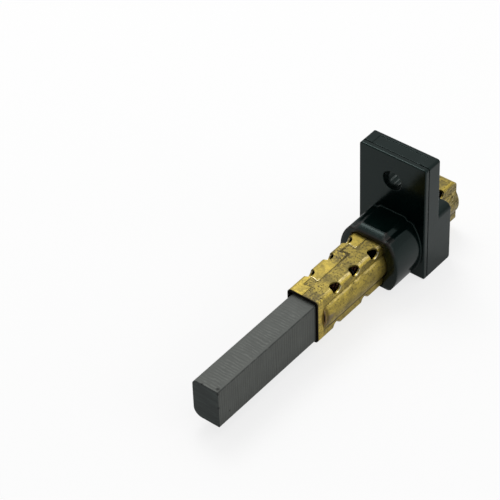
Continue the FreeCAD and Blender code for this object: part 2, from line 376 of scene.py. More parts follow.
class Finish:
    """Builds one material from shader nodes, in millimetres of the brush's frame."""

    def __init__(self, name, **constants):
        self.material = bpy.data.materials.new(name)
        self.material.use_nodes = True
        self.tree = self.material.node_tree
        self.shader = self.tree.nodes["Principled BSDF"]
        for socket, value in constants.items():
            self.shader.inputs[socket.replace("_", " ")].default_value = value
        self.place = self.scaled(self.node("ShaderNodeTexCoord").outputs["Object"], (1 / MM,) * 3)
        split = self.node("ShaderNodeSeparateXYZ", self.place)
        self.x, self.y, self.z = split.outputs
        self.facing = self.node("ShaderNodeNewGeometry").outputs["True Normal"]

    def node(self, kind, *inputs, **settings):
        """A new node with settings, and its first inputs linked or set."""
        made = self.tree.nodes.new(kind)
        for name, value in settings.items():
            setattr(made, name, value)
        for socket, value in zip(made.inputs, inputs):
            self.feed(socket, value)
        return made

    def feed(self, socket, value):
        """Links or sets one input."""
        if isinstance(value, bpy.types.NodeSocket):
            self.tree.links.new(value, socket)
        elif value is not None:
            if socket.type == "RGBA" and len(value) == 3:
                value = (*value, 1.0)
            socket.default_value = value

    def drive(self, name, value):
        """Links a value to an input of the shader."""
        self.feed(self.shader.inputs[name], value)

    def surface(self, shading):
        """Puts another shader in the place of the principled one."""
        output = self.tree.nodes["Material Output"]
        self.feed(output.inputs["Surface"], shading.outputs[0])
        self.tree.nodes.remove(self.shader)

    def math(self, operation, *inputs):
        return self.node("ShaderNodeMath", *inputs, operation=operation).outputs[0]

    def add(self, a, b):
        return self.math("ADD", a, b)

    def less(self, a, b):
        return self.math("SUBTRACT", a, b)

    def times(self, a, b):
        return self.math("MULTIPLY", a, b)

    def size(self, a):
        return self.math("ABSOLUTE", a)

    def lowest(self, a, b):
        return self.math("MINIMUM", a, b)

    def highest(self, a, b):
        return self.math("MAXIMUM", a, b)

    def either(self, *masks):
        """The strongest of several masks."""
        result = masks[0]
        for mask in masks[1:]:
            result = self.highest(result, mask)
        return result

    def both(self, *masks):
        """The product of several masks."""
        result = masks[0]
        for mask in masks[1:]:
            result = self.times(result, mask)
        return result

    def step(self, value, low, high, to_low=0.0, to_high=1.0):
        """A smooth step from to_low to to_high while the value goes from low to high."""
        ranged = self.node("ShaderNodeMapRange", interpolation_type="SMOOTHSTEP")
        for socket, number in zip(ranged.inputs, (value, low, high, to_low, to_high)):
            self.feed(socket, number)
        return ranged.outputs[0]

    def band(self, value, centre, half, soft):
        """A soft band round a centre."""
        away = self.size(self.less(value, centre))
        return self.step(away, half, half + soft, 1.0, 0.0)

    def scaled(self, vector, factors, turn=None):
        """A vector stretched and turned."""
        return self.node(
            "ShaderNodeMapping", vector, None, turn, factors, vector_type="POINT"
        ).outputs[0]

    def off_axis(self):
        """The place without its distance along the tube."""
        return self.node(
            "ShaderNodeVectorMath", self.place, (1.0, 0.0, 1.0), operation="MULTIPLY"
        ).outputs[0]

    def dot(self, a, b):
        """The product of two directions, 1 where they agree."""
        return self.node("ShaderNodeVectorMath", a, b, operation="DOT_PRODUCT").outputs["Value"]

    def noise(self, vector, scale, detail=3.0, roughness=0.5, distortion=0.0):
        """Soft random pattern from 0 to 1."""
        made = self.node("ShaderNodeTexNoise", vector, normalize=True)
        made.inputs["Scale"].default_value = scale
        made.inputs["Detail"].default_value = detail
        made.inputs["Roughness"].default_value = roughness
        made.inputs["Distortion"].default_value = distortion
        return made.outputs["Fac"]

    def wave(self, turns):
        """A sine wave from -1 to 1, one wave for each whole turn."""
        return self.math("SINE", self.times(turns, 2 * math.pi))

    def mix(self, share, a, b):
        """Two colours mixed by a share."""
        made = self.node("ShaderNodeMix", data_type="RGBA")
        for index, value in zip(MIX_INPUTS, (share, a, b)):
            self.feed(made.inputs[index], value)
        return made.outputs[MIX_OUTPUT]

    def laid(self, colour, mark, *masks):
        """A colour with a mark's colour over it, as strong as the product of the masks."""
        return self.mix(self.both(*masks), colour, mark)

    def spot(self, centre, reach):
        """A soft round spot at a place, in millimetres."""
        away = self.node("ShaderNodeVectorMath", self.place, centre, operation="DISTANCE")
        return self.step(away.outputs["Value"], 0.2 * reach, reach, 1.0, 0.0)

    def rounded_edges(self, radius):
        """Normal with the sharp edges rounded by a radius in millimetres."""
        return self.node("ShaderNodeBevel", self.times(radius, MM), samples=4).outputs[0]

    def edges(self, rounded):
        """Mask of the sharp edges, from the rounded normal and the true one."""
        return self.step(self.dot(rounded, self.facing), 0.998, 0.86)

    def bump(self, height, depth, normal=None):
        """Relief of a height from 0 to 1, whose depth is in millimetres."""
        made = self.node("ShaderNodeBump")
        made.inputs["Distance"].default_value = depth * MM
        self.feed(made.inputs["Height"], height)
        self.feed(made.inputs["Normal"], normal)
        return made.outputs[0]


def carbon_finish(settings):
    """Pressed carbon: fine grain, grinding marks across the block, small chips on its edges and painted
    shade on its front end.
    """
    f = Finish("pressed_carbon", Metallic=0.0, IOR=1.6, Specular_IOR_Level=0.2)
    pitch = settings.streak_pitch / MM
    depth = settings.streak_depth / MM
    dark = tuple(0.55 * c for c in settings.colour)
    bright = tuple(1.55 * c for c in settings.colour)
    half = CARBON_HIGH.x
    top = f.step(f.z, CARBON_HIGH.z - 0.35, CARBON_HIGH.z - 0.1)
    shaded_tip = f.step(f.y, CARBON_LOW.y + 0.02, CARBON_LOW.y + 0.12, 1.0, 0.0)
    grain = f.noise(f.place, 7.0, 4.0, 0.65)
    cloud = f.noise(f.place, 0.35, 3.0, 0.5)

    drift = f.noise(f.scaled(f.place, (0.02, 0.5, 0.03)), 1.0, 2.0)
    marks = f.wave(f.add(f.times(f.y, 1 / pitch), f.times(drift, 2.5)))
    strength = f.noise(f.scaled(f.place, (0.5, 0.7, 0.16)), 1.0, 2.0)
    marks = f.both(f.step(marks, -0.1, 0.9), f.step(strength, 0.30, 0.62, 0.35, 1.0))

    sway = f.noise(f.scaled(f.place, (0.22, 0.30, 0.1)), 1.0, 3.0, 0.6)
    bars = f.wave(f.add(f.times(f.y, 0.82 / pitch), f.times(sway, 2.4)))
    broken = f.step(f.noise(f.scaled(f.place, (0.80, 1.5, 0.3)), 1.0, 3.0), 0.40, 0.60)
    middle = f.both(f.step(f.x, -2.2, 0.2, 0.35, 1.0), f.step(f.x, half - 0.5, half - 0.9))
    front = f.step(f.y, CARBON_HIGH.y - 5.5, CARBON_HIGH.y - 9.0, 0.35, 1.0)
    barred = f.both(top, middle, front)

    colour = f.laid(settings.colour, bright, f.step(cloud, 0.3, 0.7), 0.20)
    colour = f.laid(colour, bright, f.step(bars, 0.0, 0.9), broken, barred, 0.66)
    colour = f.laid(colour, dark, f.step(bars, -0.2, -0.9), barred, 0.26)
    colour = f.laid(colour, dark, marks, f.step(top, 0.0, 1.0, 0.54, 0.06))
    colour = f.laid(colour, dark, f.step(grain, 0.45, 0.75), 0.28)
    low = f.both(f.step(f.z, -1.0, CARBON_LOW.z), f.step(top, 1.0, 0.0))
    colour = f.laid(colour, dark, low, 0.30)

    level = f.noise(f.scaled(f.place, (0.14, 0.2, 1.3)), 1.0, 3.0, 0.6, 0.3)
    # Painted shade: the front end is made darker, with lighter patches of random tone over it
    colour = f.laid(colour, TIP_SHADE_COLOUR, shaded_tip, 0.92)
    colour = f.laid(colour, TIP_LEVEL_COLOUR, shaded_tip, f.step(level, 0.46, 0.66), 0.65)

    arris = f.both(
        f.step(f.x, half - 0.24, half - 0.14),
        f.step(f.z, CARBON_HIGH.z - 0.30, CARBON_HIGH.z - 0.18),
        f.step(f.noise(f.place, 0.9, 2.0), 0.30, 0.50, 0.35, 1.0),
    )
    colour = f.laid(colour, ARRIS_COLOUR, arris, 0.60)
    rounded = f.rounded_edges(0.12)
    edge = f.edges(rounded)
    colour = f.laid(colour, dark, edge, 0.30)
    chips = f.both(edge, f.step(f.noise(f.place, 1.3, 3.0, 0.6), 0.54, 0.62))
    chips = f.either(chips, *(f.spot(place, reach) for place, reach in CARBON_CHIPS))
    colour = f.laid(colour, CHIP_COLOUR, chips, 0.85)

    f.drive("Base Color", colour)
    f.drive("Roughness", f.step(grain, 0.2, 0.9, 0.50, 0.72))
    relief = f.bump(grain, 0.6 * depth, rounded)
    f.drive("Normal", f.bump(f.either(marks, f.both(bars, top)), -depth, relief))
    return f.material


class TubeFinish(Finish):
    """Tarnished sheet brass: the folded tube's regions as masks, and its marks laid one by one."""

    def __init__(self, settings):
        super().__init__("tarnished_brass", Metallic=0.85, IOR=1.5)
        self.settings = settings
        self.pale = tuple(min(1.0, 1.32 * c) for c in settings.colour)
        self.rounded = self.rounded_edges(0.10)
        self.blotch = self.noise(self.place, 1.5, 4.0, 0.62, 0.3)
        self.spots = self.noise(self.place, 0.42 * MM / settings.speckle, 3.0, 0.6, 0.2)
        self.rolled = self.noise(self.scaled(self.place, (4.0, 0.30, 4.0)), 1.0, 3.0, 0.6)
        streak = self.scaled(self.place, (1.0, 0.45, 1.0))
        self.streak = self.noise(streak, 0.9, 4.0, 0.65, 0.3)
        self.facing_out = self.outward()
        self.beyond = self.less(SEAM_X, self.x)
        self.along = self.repeated(SEAM_TAB_FIRST, SEAM_TAB_PITCH)
        self.seam = self.seam_side()
        self.top = self.step(self.z, TUBE_HALF_HEIGHT - 0.12, TUBE_HALF_HEIGHT - 0.04)
        self.right_panel = self.both(self.top, self.step(self.seam, -0.02, 0.02, 1.0, 0.0))
        width = self.size(self.x)
        height = self.size(self.z)
        self.side = self.step(width, TUBE_HALF_WIDTH - 0.15, TUBE_HALF_WIDTH - 0.05)
        self.fold = self.both(
            self.step(width, TUBE_HALF_WIDTH - 0.75, TUBE_HALF_WIDTH - 0.55),
            self.step(height, TUBE_HALF_HEIGHT - 0.75, TUBE_HALF_HEIGHT - 0.55),
        )
        self.slit_height = self.step(height, 2.3, 2.9, 1.0, 0.0)
        self.stained_rear = self.spot(REAR_STAIN, 4.4)
        self.stained_front = self.spot(FRONT_STAIN, 2.6)

    def repeated(self, first, pitch):
        """Distance along the tube from the nearest of a row of places."""
        along = self.less(self.y, first - pitch / 2)
        return self.less(self.math("FLOORED_MODULO", along, pitch), pitch / 2)

    def seam_side(self):
        """Distance from the jigsaw seam seen from above: above 0 on the left panel."""
        half = self.add(SEAM_TAB_HALF_NECK, self.times(self.beyond, SEAM_TAB_SPREAD))
        past_side = self.less(self.size(self.along), half)
        tab = self.highest(past_side, self.less(self.beyond, SEAM_TAB_DEPTH))
        return self.lowest(self.beyond, tab)

    def outward(self):
        """How far a face of the tube looks away from its axis, from -1 to 1."""
        out = self.node("ShaderNodeVectorMath", self.off_axis(), operation="NORMALIZE")
        return self.dot(out.outputs[0], self.facing)

    def tarnished(self):
        """Clean brass under a tarnish in blotches, heavier on the top and behind; keeps the tarnish."""
        blotch = self.noise(self.place, 0.42, 4.0, 0.6, 0.4)
        low = self.step(self.z, 3.4, -3.0)
        back = self.step(self.y, TUBE_LOW.y + 5.0, TUBE_LOW.y + 13.0)
        tarnish = self.times(self.step(blotch, 0.38, 0.64), 0.40)
        tarnish = self.add(tarnish, self.times(self.step(self.blotch, 0.42, 0.70), 0.30))
        tarnish = self.add(tarnish, self.times(self.right_panel, 0.34))
        tarnish = self.add(tarnish, self.both(self.side, self.either(low, back), 0.16))
        tarnish = self.add(tarnish, self.times(self.top, 0.22))
        tarnish = self.times(tarnish, self.step(self.fold, 0.0, 1.0, 1.0, 0.45))
        self.tarnish = self.lowest(tarnish, 1.0)
        dull = self.settings.tarnish_colour
        colour = self.laid(self.settings.colour, dull, self.tarnish)
        return self.laid(colour, dull, self.step(self.rolled, 0.35, 0.70), 0.20)

    def rubbed(self, colour):
        """Bright rubbed folds, a painted highlight along the right upper fold and the pale strip in
        front of the slit; keeps the painted highlight.
        """
        worn = self.step(self.y, TUBE_LOW.y + 0.8, TUBE_LOW.y + 2.4, 0.3, 1.0)
        bright = self.step(self.blotch, 0.66, 0.36)
        colour = self.laid(colour, self.pale, self.fold, bright, worn, 0.45)
        # Painted highlight along the right upper fold
        self.painted_fold_highlight = self.both(
            self.band(self.x, TUBE_HALF_WIDTH - 0.52, 0.16, 0.24),
            self.step(self.z, TUBE_HALF_HEIGHT - 0.25, TUBE_HALF_HEIGHT - 0.12),
            self.step(self.y, TUBE_LOW.y + 2.0, TUBE_LOW.y + 8.0, 0.20, 1.0),
            self.step(self.y, 0.0, -2.0),
            self.step(self.blotch, 0.66, 0.40, 0.3, 1.0),
        )
        colour = self.laid(colour, FOLD_HIGHLIGHT_COLOUR, self.painted_fold_highlight, 0.80)
        strip = self.both(self.side, self.step(self.y, SLIT_Y, SLIT_Y - 0.6))
        return self.laid(colour, self.pale, strip, 0.65)

    def stained(self, colour):
        """Dark pits, smudges and stained streaks; keeps the pits."""
        crowd = self.step(self.noise(self.place, 0.55, 3.0, 0.6), 0.44, 0.62)
        places = self.either(
            self.times(crowd, 0.35),
            self.stained_rear,
            self.stained_front,
            self.times(self.right_panel, 0.85),
            self.times(self.side, 0.72),
        )
        self.pits = self.both(self.step(self.spots, 0.575, 0.625), places)
        colour = self.laid(colour, self.settings.soot_and_shade_colour, self.pits, 0.86)
        left_of_seam = self.both(self.stained_rear, self.step(self.right_panel, 1.0, 0.0))
        smudge = self.either(left_of_seam, self.stained_front)
        stain = self.settings.stain_colour
        colour = self.laid(colour, stain, smudge, self.step(self.blotch, 0.36, 0.56), 0.78)
        streaked = self.either(self.side, self.right_panel)
        return self.laid(colour, stain, streaked, self.step(self.streak, 0.50, 0.66), 0.34)

    def seamed(self, colour):
        """Soot in the seam, stains and painted shade beside it, and painted highlights on the rims of
        its tabs.
        """
        line = self.both(
            self.top,
            self.band(self.seam, -0.06, 0.05, 0.22),
            self.step(self.blotch, 0.62, 0.30),
        )
        gape = self.both(self.top, self.band(self.seam, 0.0, 0.14, 0.20), self.stained_rear)
        gape = self.either(self.times(line, 0.65), self.times(gape, 0.85))
        colour = self.laid(colour, self.settings.soot_and_shade_colour, gape)
        # Dirt and painted shade on the right panel beside the seam, where the left panel stands a
        # little higher
        beside = self.both(self.right_panel, self.step(self.seam, -1.3, -0.1))
        dirty = self.step(self.blotch, 0.38, 0.60)
        colour = self.laid(colour, self.settings.stain_colour, beside, dirty, 0.5)
        head = self.both(
            self.step(self.along, 0.7, 1.0),
            self.step(self.along, 1.9, 1.6),
            self.step(self.beyond, 2.1, 1.9),
        )
        # Painted highlights on the tab rims that face the light
        rim = self.both(self.top, head, self.band(self.seam, 0.17, 0.07, 0.12))
        return self.laid(colour, TAB_RIM_HIGHLIGHT_COLOUR, rim, self.step(self.spots, 0.54, 0.44), 0.85)

    def creased(self, colour):
        """Painted shade in the creases where the bulges leave the flat wall, and the lit line beside
        them.
        """
        crease_z = math.sqrt(BULGE_RADIUS**2 - TUBE_HALF_WIDTH**2)
        crease = self.both(
            self.side,
            self.band(self.size(self.z), crease_z + 0.08, 0.04, 0.16),
            self.step(self.y, SLIT_Y, SLIT_Y + 0.1),
        )
        lower = self.both(
            self.side,
            self.band(self.z, -crease_z - 0.12, 0.10, 0.24),
            self.step(self.y, SLIT_Y - 0.3, SLIT_Y + 1.5),
            self.step(self.streak, 0.72, 0.50, 0.5, 1.0),
        )
        # Painted shade in both creases, stronger at the lower one
        crease = self.either(self.times(crease, 0.50), self.times(lower, 0.72))
        colour = self.laid(colour, self.settings.soot_and_shade_colour, crease)
        lit = self.both(
            self.side,
            self.band(self.z, crease_z - 0.30, 0.07, 0.18),
            self.step(self.y, SLIT_Y + 0.3, SLIT_Y + 3.0),
            self.step(self.streak, 0.62, 0.44),
        )
        return self.laid(colour, LIT_LINE_COLOUR, lit, 0.45)

    def scuffed(self, colour):
        """Scuffs, flecks and pits on the tail's sides behind the holder; keeps the scuffs."""
        way = self.scaled(self.place, (1.0, 0.5, 3.2), (math.radians(38), 0.0, 0.0))
        tail = self.step(self.y, HOLDER_HIGH.y - 1.2, HOLDER_HIGH.y + 1.3)
        tail = self.both(tail, self.step(self.size(self.x), 3.2, 3.6))
        stain = self.settings.stain_colour
        self.scuffs = self.both(tail, self.step(self.noise(way, 1.0, 4.0, 0.7), 0.44, 0.60))
        colour = self.laid(colour, self.settings.tarnish_colour, tail, 0.35)
        colour = self.laid(colour, stain, self.scuffs, 0.60)
        flecks = self.noise(way, 2.6, 4.0, 0.7)
        tail = self.both(tail, self.side)
        colour = self.laid(colour, FLECK_COLOUR, tail, self.step(flecks, 0.53, 0.62), 0.45)
        colour = self.laid(colour, stain, tail, self.step(flecks, 0.47, 0.38), 0.55)
        pits = self.step(self.noise(self.place, 1.9, 3.0, 0.6), 0.53, 0.60)
        return self.laid(colour, self.settings.soot_and_shade_colour, tail, pits, 0.72)

    def window_rims(self, colour):
        """Bright crescents behind the windows on the upper folds."""
        window_y = self.repeated(WINDOW_FIRST, WINDOW_PITCH)
        window_z = self.less(self.z, WINDOW_Z)
        away = self.add(self.times(window_y, window_y), self.times(window_z, window_z))
        crescent = self.both(
            self.side,
            self.band(self.math("SQRT", away), WINDOW_RADIUS + 0.08, 0.07, 0.10),
            self.step(window_y, -0.2, 0.25),
            self.step(window_z, -0.20, -0.60),
            self.band(self.y, WINDOW_FIRST + WINDOW_PITCH, WINDOW_PITCH + 1.6, 0.2),
        )
        return self.laid(colour, CRESCENT_COLOUR, crescent, 0.80)

    def slit_marks(self, colour):
        """The bulge's rubbed front end, painted shade in the recess in front of it and just behind the
        slit, and the slit's bright cut.
        """
        worn = self.both(
            self.side,
            self.step(self.add(self.y, self.times(self.z, -0.45)), SLIT_Y + 2.2, SLIT_Y + 1.2),
            self.step(self.y, SLIT_Y - 0.05, SLIT_Y + 0.3),
            self.step(self.z, 1.2, 0.1),
            self.slit_height,
            self.step(self.blotch, 0.66, 0.44, 0.35, 1.0),
        )
        colour = self.laid(colour, self.settings.worn_colour, worn, 0.75)
        # Painted shade in the recess in front of the slit
        bow = self.less(1.05, self.times(self.times(self.z, self.z), 0.11))
        past_slit = self.less(self.y, SLIT_Y)
        recess = self.both(
            self.side,
            self.step(self.add(past_slit, bow), 0.0, 0.40),
            self.step(past_slit, 0.02, 0.0),
            self.slit_height,
        )
        colour = self.laid(colour, RECESS_SHADE_COLOUR, recess, 0.92)
        # Painted shade on the bulge just behind the slit
        behind = self.both(
            self.side,
            self.step(past_slit, 0.02, 0.06),
            self.step(past_slit, 1.1, 0.4),
            self.slit_height,
        )
        colour = self.laid(colour, BEHIND_SLIT_SHADE_COLOUR, behind, 0.85)
        facing_y = self.node("ShaderNodeSeparateXYZ", self.facing).outputs[1]
        at_slit = self.step(self.size(past_slit), 0.04, 0.02)
        return self.laid(colour, CUT_COLOUR, at_slit, self.step(facing_y, -0.5, -0.9))

    def cut_edges(self, colour):
        """Pale arrises, punched window edges, black at the mouth and painted shade on the inner faces;
        keeps both masks.
        """
        colour = self.laid(colour, self.pale, self.edges(self.rounded), 0.40)
        self.punched = self.both(
            self.band(self.facing_out, 0.0, 0.30, 0.15),
            self.step(self.size(self.x), 2.0, 2.2),
            self.step(self.size(self.z), 2.8, 3.0),
            self.step(self.y, FLAP_Y - 1.5, FLAP_Y - 2.0),
        )
        below = self.step(self.z, 4.75, 4.45)
        punched_colour = self.laid(self.settings.tarnish_colour, PUNCHED_COLOUR, below)
        colour = self.laid(colour, punched_colour, self.punched)
        # The mouth is painted black, and the faces turned inward are painted black as painted shade
        mouth = self.step(self.y, TUBE_LOW.y + 0.12, TUBE_LOW.y + 0.42, 1.0, 0.0)
        self.black_mouth_and_painted_shade_inside = self.either(mouth, self.step(self.facing_out, -0.45, -0.55))
        return self.laid(colour, self.settings.soot_and_shade_colour, self.black_mouth_and_painted_shade_inside)

    def roughness(self):
        """Smoother on the rubbed folds, rougher with tarnish, on cut edges and inside."""
        rough = self.add(self.times(self.tarnish, 0.14), self.times(self.rolled, 0.10))
        polished = self.either(self.fold, self.painted_fold_highlight)
        rough = self.add(rough, self.step(polished, 0.0, 1.0, 0.30, 0.20))
        rough = self.highest(rough, self.times(self.punched, 0.60))
        return self.highest(rough, self.times(self.black_mouth_and_painted_shade_inside, 0.85))

    def relief(self):
        """Rolling marks, soft dents, pits and scuffs on the rounded edges."""
        relief = self.bump(self.rolled, 0.006, self.bump(self.blotch, 0.02, self.rounded))
        return self.bump(self.either(self.pits, self.times(self.scuffs, 0.7)), -0.02, relief)


def brass_finish(settings):
    """The tube's marks in the order in which they lie on the brass."""
    f = TubeFinish(settings)
    colour = f.tarnished()
    for lay in (
        f.rubbed,
        f.stained,
        f.seamed,
        f.creased,
        f.scuffed,
        f.window_rims,
        f.slit_marks,
        f.cut_edges,
    ):
        colour = lay(colour)
    f.drive("Base Color", colour)
    f.drive("Roughness", f.roughness())
    f.drive("Normal", f.relief())
    return f.material


def moulding_finish(settings):
    """Glossy black plastic: mould texture, worn arrises, a painted highlight on the collar's front
    slope and painted reflections low in the screw hole.
    """
    f = Finish(
        "black_moulding",
        Metallic=0.0,
        IOR=1.5,
        Specular_IOR_Level=0.29,
        Specular_Tint=(0.72, 1.0, 0.96, 1.0),
    )
    cloud = f.noise(f.place, 0.22, 3.0, 0.5)
    fine = f.noise(f.place, 6.0, 3.0, 0.6)
    drawn = f.noise(f.scaled(f.place, (0.3, 0.3, 3.0)), 1.0, 3.0, 0.6)
    slope_end = HOLDER_LOW.y + 1.8
    rounded = f.rounded_edges(f.step(f.y, slope_end, slope_end + 0.8, 1.10, 0.25))
    edge = f.edges(rounded)
    paler = tuple(1.5 * c for c in settings.colour)
    colour = f.laid(settings.colour, paler, f.step(cloud, 0.35, 0.7))
    colour = f.laid(colour, WORN_ARRIS_COLOUR, edge, 0.25)
    # Painted highlight along the rounded edge of the collar's front slope
    slope_highlight = f.both(edge, f.step(f.y, slope_end + 0.8, slope_end), f.step(f.z, 3.0, 4.5))
    colour = f.laid(colour, SLOPE_HIGHLIGHT_COLOUR, slope_highlight, 0.85)

    screw = (0.0, 0.0, SCREW_Z)
    away = f.node("ShaderNodeVectorMath", f.off_axis(), screw, operation="DISTANCE")
    # Painted reflections: light streaks along the lower wall of the screw hole
    painted_bore_reflections = f.both(
        f.step(away.outputs["Value"], SCREW_RADIUS + 0.06, SCREW_RADIUS + 0.02),
        f.step(f.wave(f.times(f.x, 1 / 0.85)), 0.2, 0.9),
        f.step(f.z, SCREW_Z - 0.9, SCREW_Z - 1.3),
        f.step(f.y, 1.3, 1.9),
        f.step(f.y, 4.2, 3.4),
    )
    colour = f.laid(colour, BORE_REFLECTION_COLOUR, painted_bore_reflections, 0.80)

    f.drive("Base Color", colour)
    rough = f.add(settings.roughness, f.times(f.step(cloud, 0.3, 0.8), 0.06))
    rough = f.add(rough, f.times(f.step(drawn, 0.55, 0.8), 0.08))
    rough = f.add(rough, f.times(slope_highlight, 0.22))
    f.drive("Roughness", f.add(rough, f.times(edge, 0.12)))
    f.drive("Normal", f.bump(fine, 0.0015, f.bump(cloud, 0.03, rounded)))
    return f.material


def spring_finish(settings):
    """Dark spring steel, unevenly worn and finely pitted."""
    f = Finish("spring_steel", Metallic=1.0)
    worn = f.noise(f.place, 1.6, 3.0, 0.6)
    dark = tuple(0.45 * c for c in settings.colour)
    f.drive("Base Color", f.mix(f.step(worn, 0.35, 0.65), dark, settings.colour))
    f.drive("Roughness", f.step(worn, 0.2, 0.8, 0.30, 0.55))
    f.drive("Normal", f.bump(f.noise(f.place, 8.0, 2.0), 0.004))
    return f.material


def copper_finish(name, colour, grain, rough):
    """Aged copper, as fine wires or as tamped powder."""
    f = Finish(name, Metallic=0.9)
    spots = f.noise(f.place, grain, 4.0, 0.65)
    cloud = f.noise(f.place, 0.7, 3.0, 0.5)
    dark = tuple(0.35 * c for c in colour)
    shade = f.add(f.times(f.step(spots, 0.35, 0.7), 0.6), f.times(f.step(cloud, 0.4, 0.7), 0.4))
    f.drive("Base Color", f.mix(shade, colour, dark))
    f.drive("Roughness", f.step(spots, 0.2, 0.8, rough, rough + 0.25))
    f.drive("Normal", f.bump(spots, 0.02))
    return f.material


def tube_faces(rings, sides):
    """Faces of a closed tube made of rings of points, with both its ends."""
    faces = []
    for ring in range(rings - 1):
        for index in range(sides):
            a = ring * sides + index
            b = ring * sides + (index + 1) % sides
            faces.append((a, b, b + sides, a + sides))
    faces.append(tuple(reversed(range(sides))))
    faces.append(tuple(range((rings - 1) * sides, rings * sides)))
    return faces


def wire_mesh(name, path, radius, sides):
    """Round wire along a path of points, capped at both ends."""
    points = [Vector(point) for point in path]
    ways = []
    for before, after in zip([points[0]] + points[:-1], points[1:] + [points[-1]]):
        ways.append((after - before).normalized())
    across = ways[0].orthogonal().normalized()
    vertices = []
    for point, way in zip(points, ways):
        across = (across - across.dot(way) * way).normalized()
        up = way.cross(across)
        for index in range(sides):
            turn = 2 * math.pi * index / sides
            vertices.append(point + radius * (math.cos(turn) * across + math.sin(turn) * up))
    return shown_mesh(name, vertices, tube_faces(len(points), sides))


def shown_mesh(name, vertices, faces):
    """Smooth mesh object in the scene, from points in millimetres."""
    mesh = bpy.data.meshes.new(name)
    mesh.from_pydata([tuple(v * MM for v in point) for point in vertices], [], faces)
    mesh.polygons.foreach_set("use_smooth", [True] * len(mesh.polygons))
    mesh.update()
    piece = bpy.data.objects.new(name, mesh)
    bpy.context.scene.collection.objects.link(piece)
    return piece


def joined(name, pieces):
    """Several mesh objects as one, under one name."""
    target = pieces[0]
    with bpy.context.temp_override(active_object=target, selected_editable_objects=pieces):
        bpy.ops.object.join()
    target.name = name
    target.data.name = name
    return target


def coated(piece, material):
    """Gives a piece one material."""
    slots = piece.material_slots
    if not slots:
        piece.data.materials.append(material)
        return piece
    for slot in slots:
        slot.material = material
    return piece


def coil_path(wire, turns, radius, start, end):
    """Centre line of a coil with one closed turn at each end."""
    closed_pitch = wire + 0.02
    rise = end - start - wire - 2 * closed_pitch
    path = []
    for step in range(turns * STEPS_PER_COIL_TURN + 1):
        turn = step / STEPS_PER_COIL_TURN
        closed = min(turn, 1) + max(turn - turns + 1, 0)
        active = min(max(turn - 1, 0), turns - 2)
        y = start + wire / 2 + closed * closed_pitch + active * rise / (turns - 2)
        angle = 2 * math.pi * turn
        path.append((radius * math.cos(angle), y, radius * math.sin(angle)))
    return path


def flex_strand(radius, lay, angle, start, end):
    """Centre line of one strand that winds round the flex."""
    steps = max(2, int((end - start) / lay * STEPS_PER_LAY))
    path = []
    for step in range(steps + 1):
        y = start + (end - start) * step / steps
        turn = angle + 2 * math.pi * (y - start) / lay
        path.append((radius * math.cos(turn), y, radius * math.sin(turn)))
    return path


class CARBON_BRUSH_OT_carbon_block(bpy.types.Operator):
    """Gives the carbon block its finish"""

    bl_idname = "carbon_brush.carbon_block"
    bl_label = "Carbon Block"

    def execute(self, context):
        coated(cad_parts["carbon_block"], carbon_finish(context.scene.carbon_brush_carbon))
        return {"FINISHED"}


class CARBON_BRUSH_OT_tamping_plug(bpy.types.Operator):
    """Gives the tamped copper plug its finish"""

    bl_idname = "carbon_brush.tamping_plug"
    bl_label = "Tamping Plug"

    def execute(self, context):
        colour = context.scene.carbon_brush_flex.colour
        coated(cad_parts["tamping_plug"], copper_finish("copper_powder", colour, 7.0, 0.55))
        return {"FINISHED"}


class CARBON_BRUSH_OT_copper_flex(bpy.types.Operator):
    """Builds the stranded copper flex and its head behind the tube's end flap"""

    bl_idname = "carbon_brush.copper_flex"
    bl_label = "Copper Flex"

    def execute(self, context):
        settings = context.scene.carbon_brush_flex
        material = copper_finish("copper_braid", settings.colour, 5.0, 0.35)
        strand = settings.diameter / MM / 6
        lay = settings.lay / MM
        start = FLEX_LOW.y
        end = FLAP_Y + SHEET
        core = flex_strand(0.0, lay, 0.0, start, end)
        strands = [wire_mesh("strand_core", core, strand, STRAND_SIDES)]
        for index in range(6):
            path = flex_strand(2 * strand, lay, math.pi * index / 3, start, end)
            strands.append(wire_mesh("strand_%d" % index, path, strand, STRAND_SIDES))
        flex = coated(joined("flex_strands", strands), material)
        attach(flex, "housing")
        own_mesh(flex)
        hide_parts("copper_flex")
        head = self.head(FLEX_HIGH.x, end, FLEX_HIGH.y - end)
        coated(head, material)
        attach(head, "housing")
        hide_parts("copper_flex")
        return {"FINISHED"}

    def head(self, radius, start, thickness):
        """Flattened head of the flex, with a rounded rim and a slightly hollow middle."""
        profile = [
            (radius, 0.0),
            (radius, 0.55),
            (0.95 * radius, 0.85),
            (0.82 * radius, 1.0),
            (0.45 * radius, 0.94),
        ]
        vertices = []
        for reach, level in profile:
            y = start + level * thickness
            for index in range(HEAD_SIDES):
                turn = 2 * math.pi * index / HEAD_SIDES
                vertices.append((reach * math.cos(turn), y, reach * math.sin(turn)))
        faces = [tuple(reversed(face)) for face in tube_faces(len(profile), HEAD_SIDES)]
        return shown_mesh("flex_head", vertices, faces)


class CARBON_BRUSH_OT_guide_tube(bpy.types.Operator):
    """Gives the folded brass tube its finish"""

    bl_idname = "carbon_brush.guide_tube"
    bl_label = "Guide Tube"

    def execute(self, context):
        coated(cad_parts["guide_tube"], brass_finish(context.scene.carbon_brush_brass))
        return {"FINISHED"}


class CARBON_BRUSH_OT_pressure_spring(bpy.types.Operator):
    """Builds the pressure spring as a smooth coil"""

    bl_idname = "carbon_brush.pressure_spring"
    bl_label = "Pressure Spring"

    def execute(self, context):
        settings = context.scene.carbon_brush_spring
        wire = settings.wire / MM
        path = coil_path(
            wire, settings.turns, SPRING_HIGH.x - wire / 2, SPRING_LOW.y, SPRING_HIGH.y
        )
        spring = wire_mesh("spring_coil", path, wire / 2, WIRE_SIDES)
        coated(spring, spring_finish(settings))
        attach(spring, "housing")
        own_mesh(spring)
        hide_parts("pressure_spring")
        return {"FINISHED"}


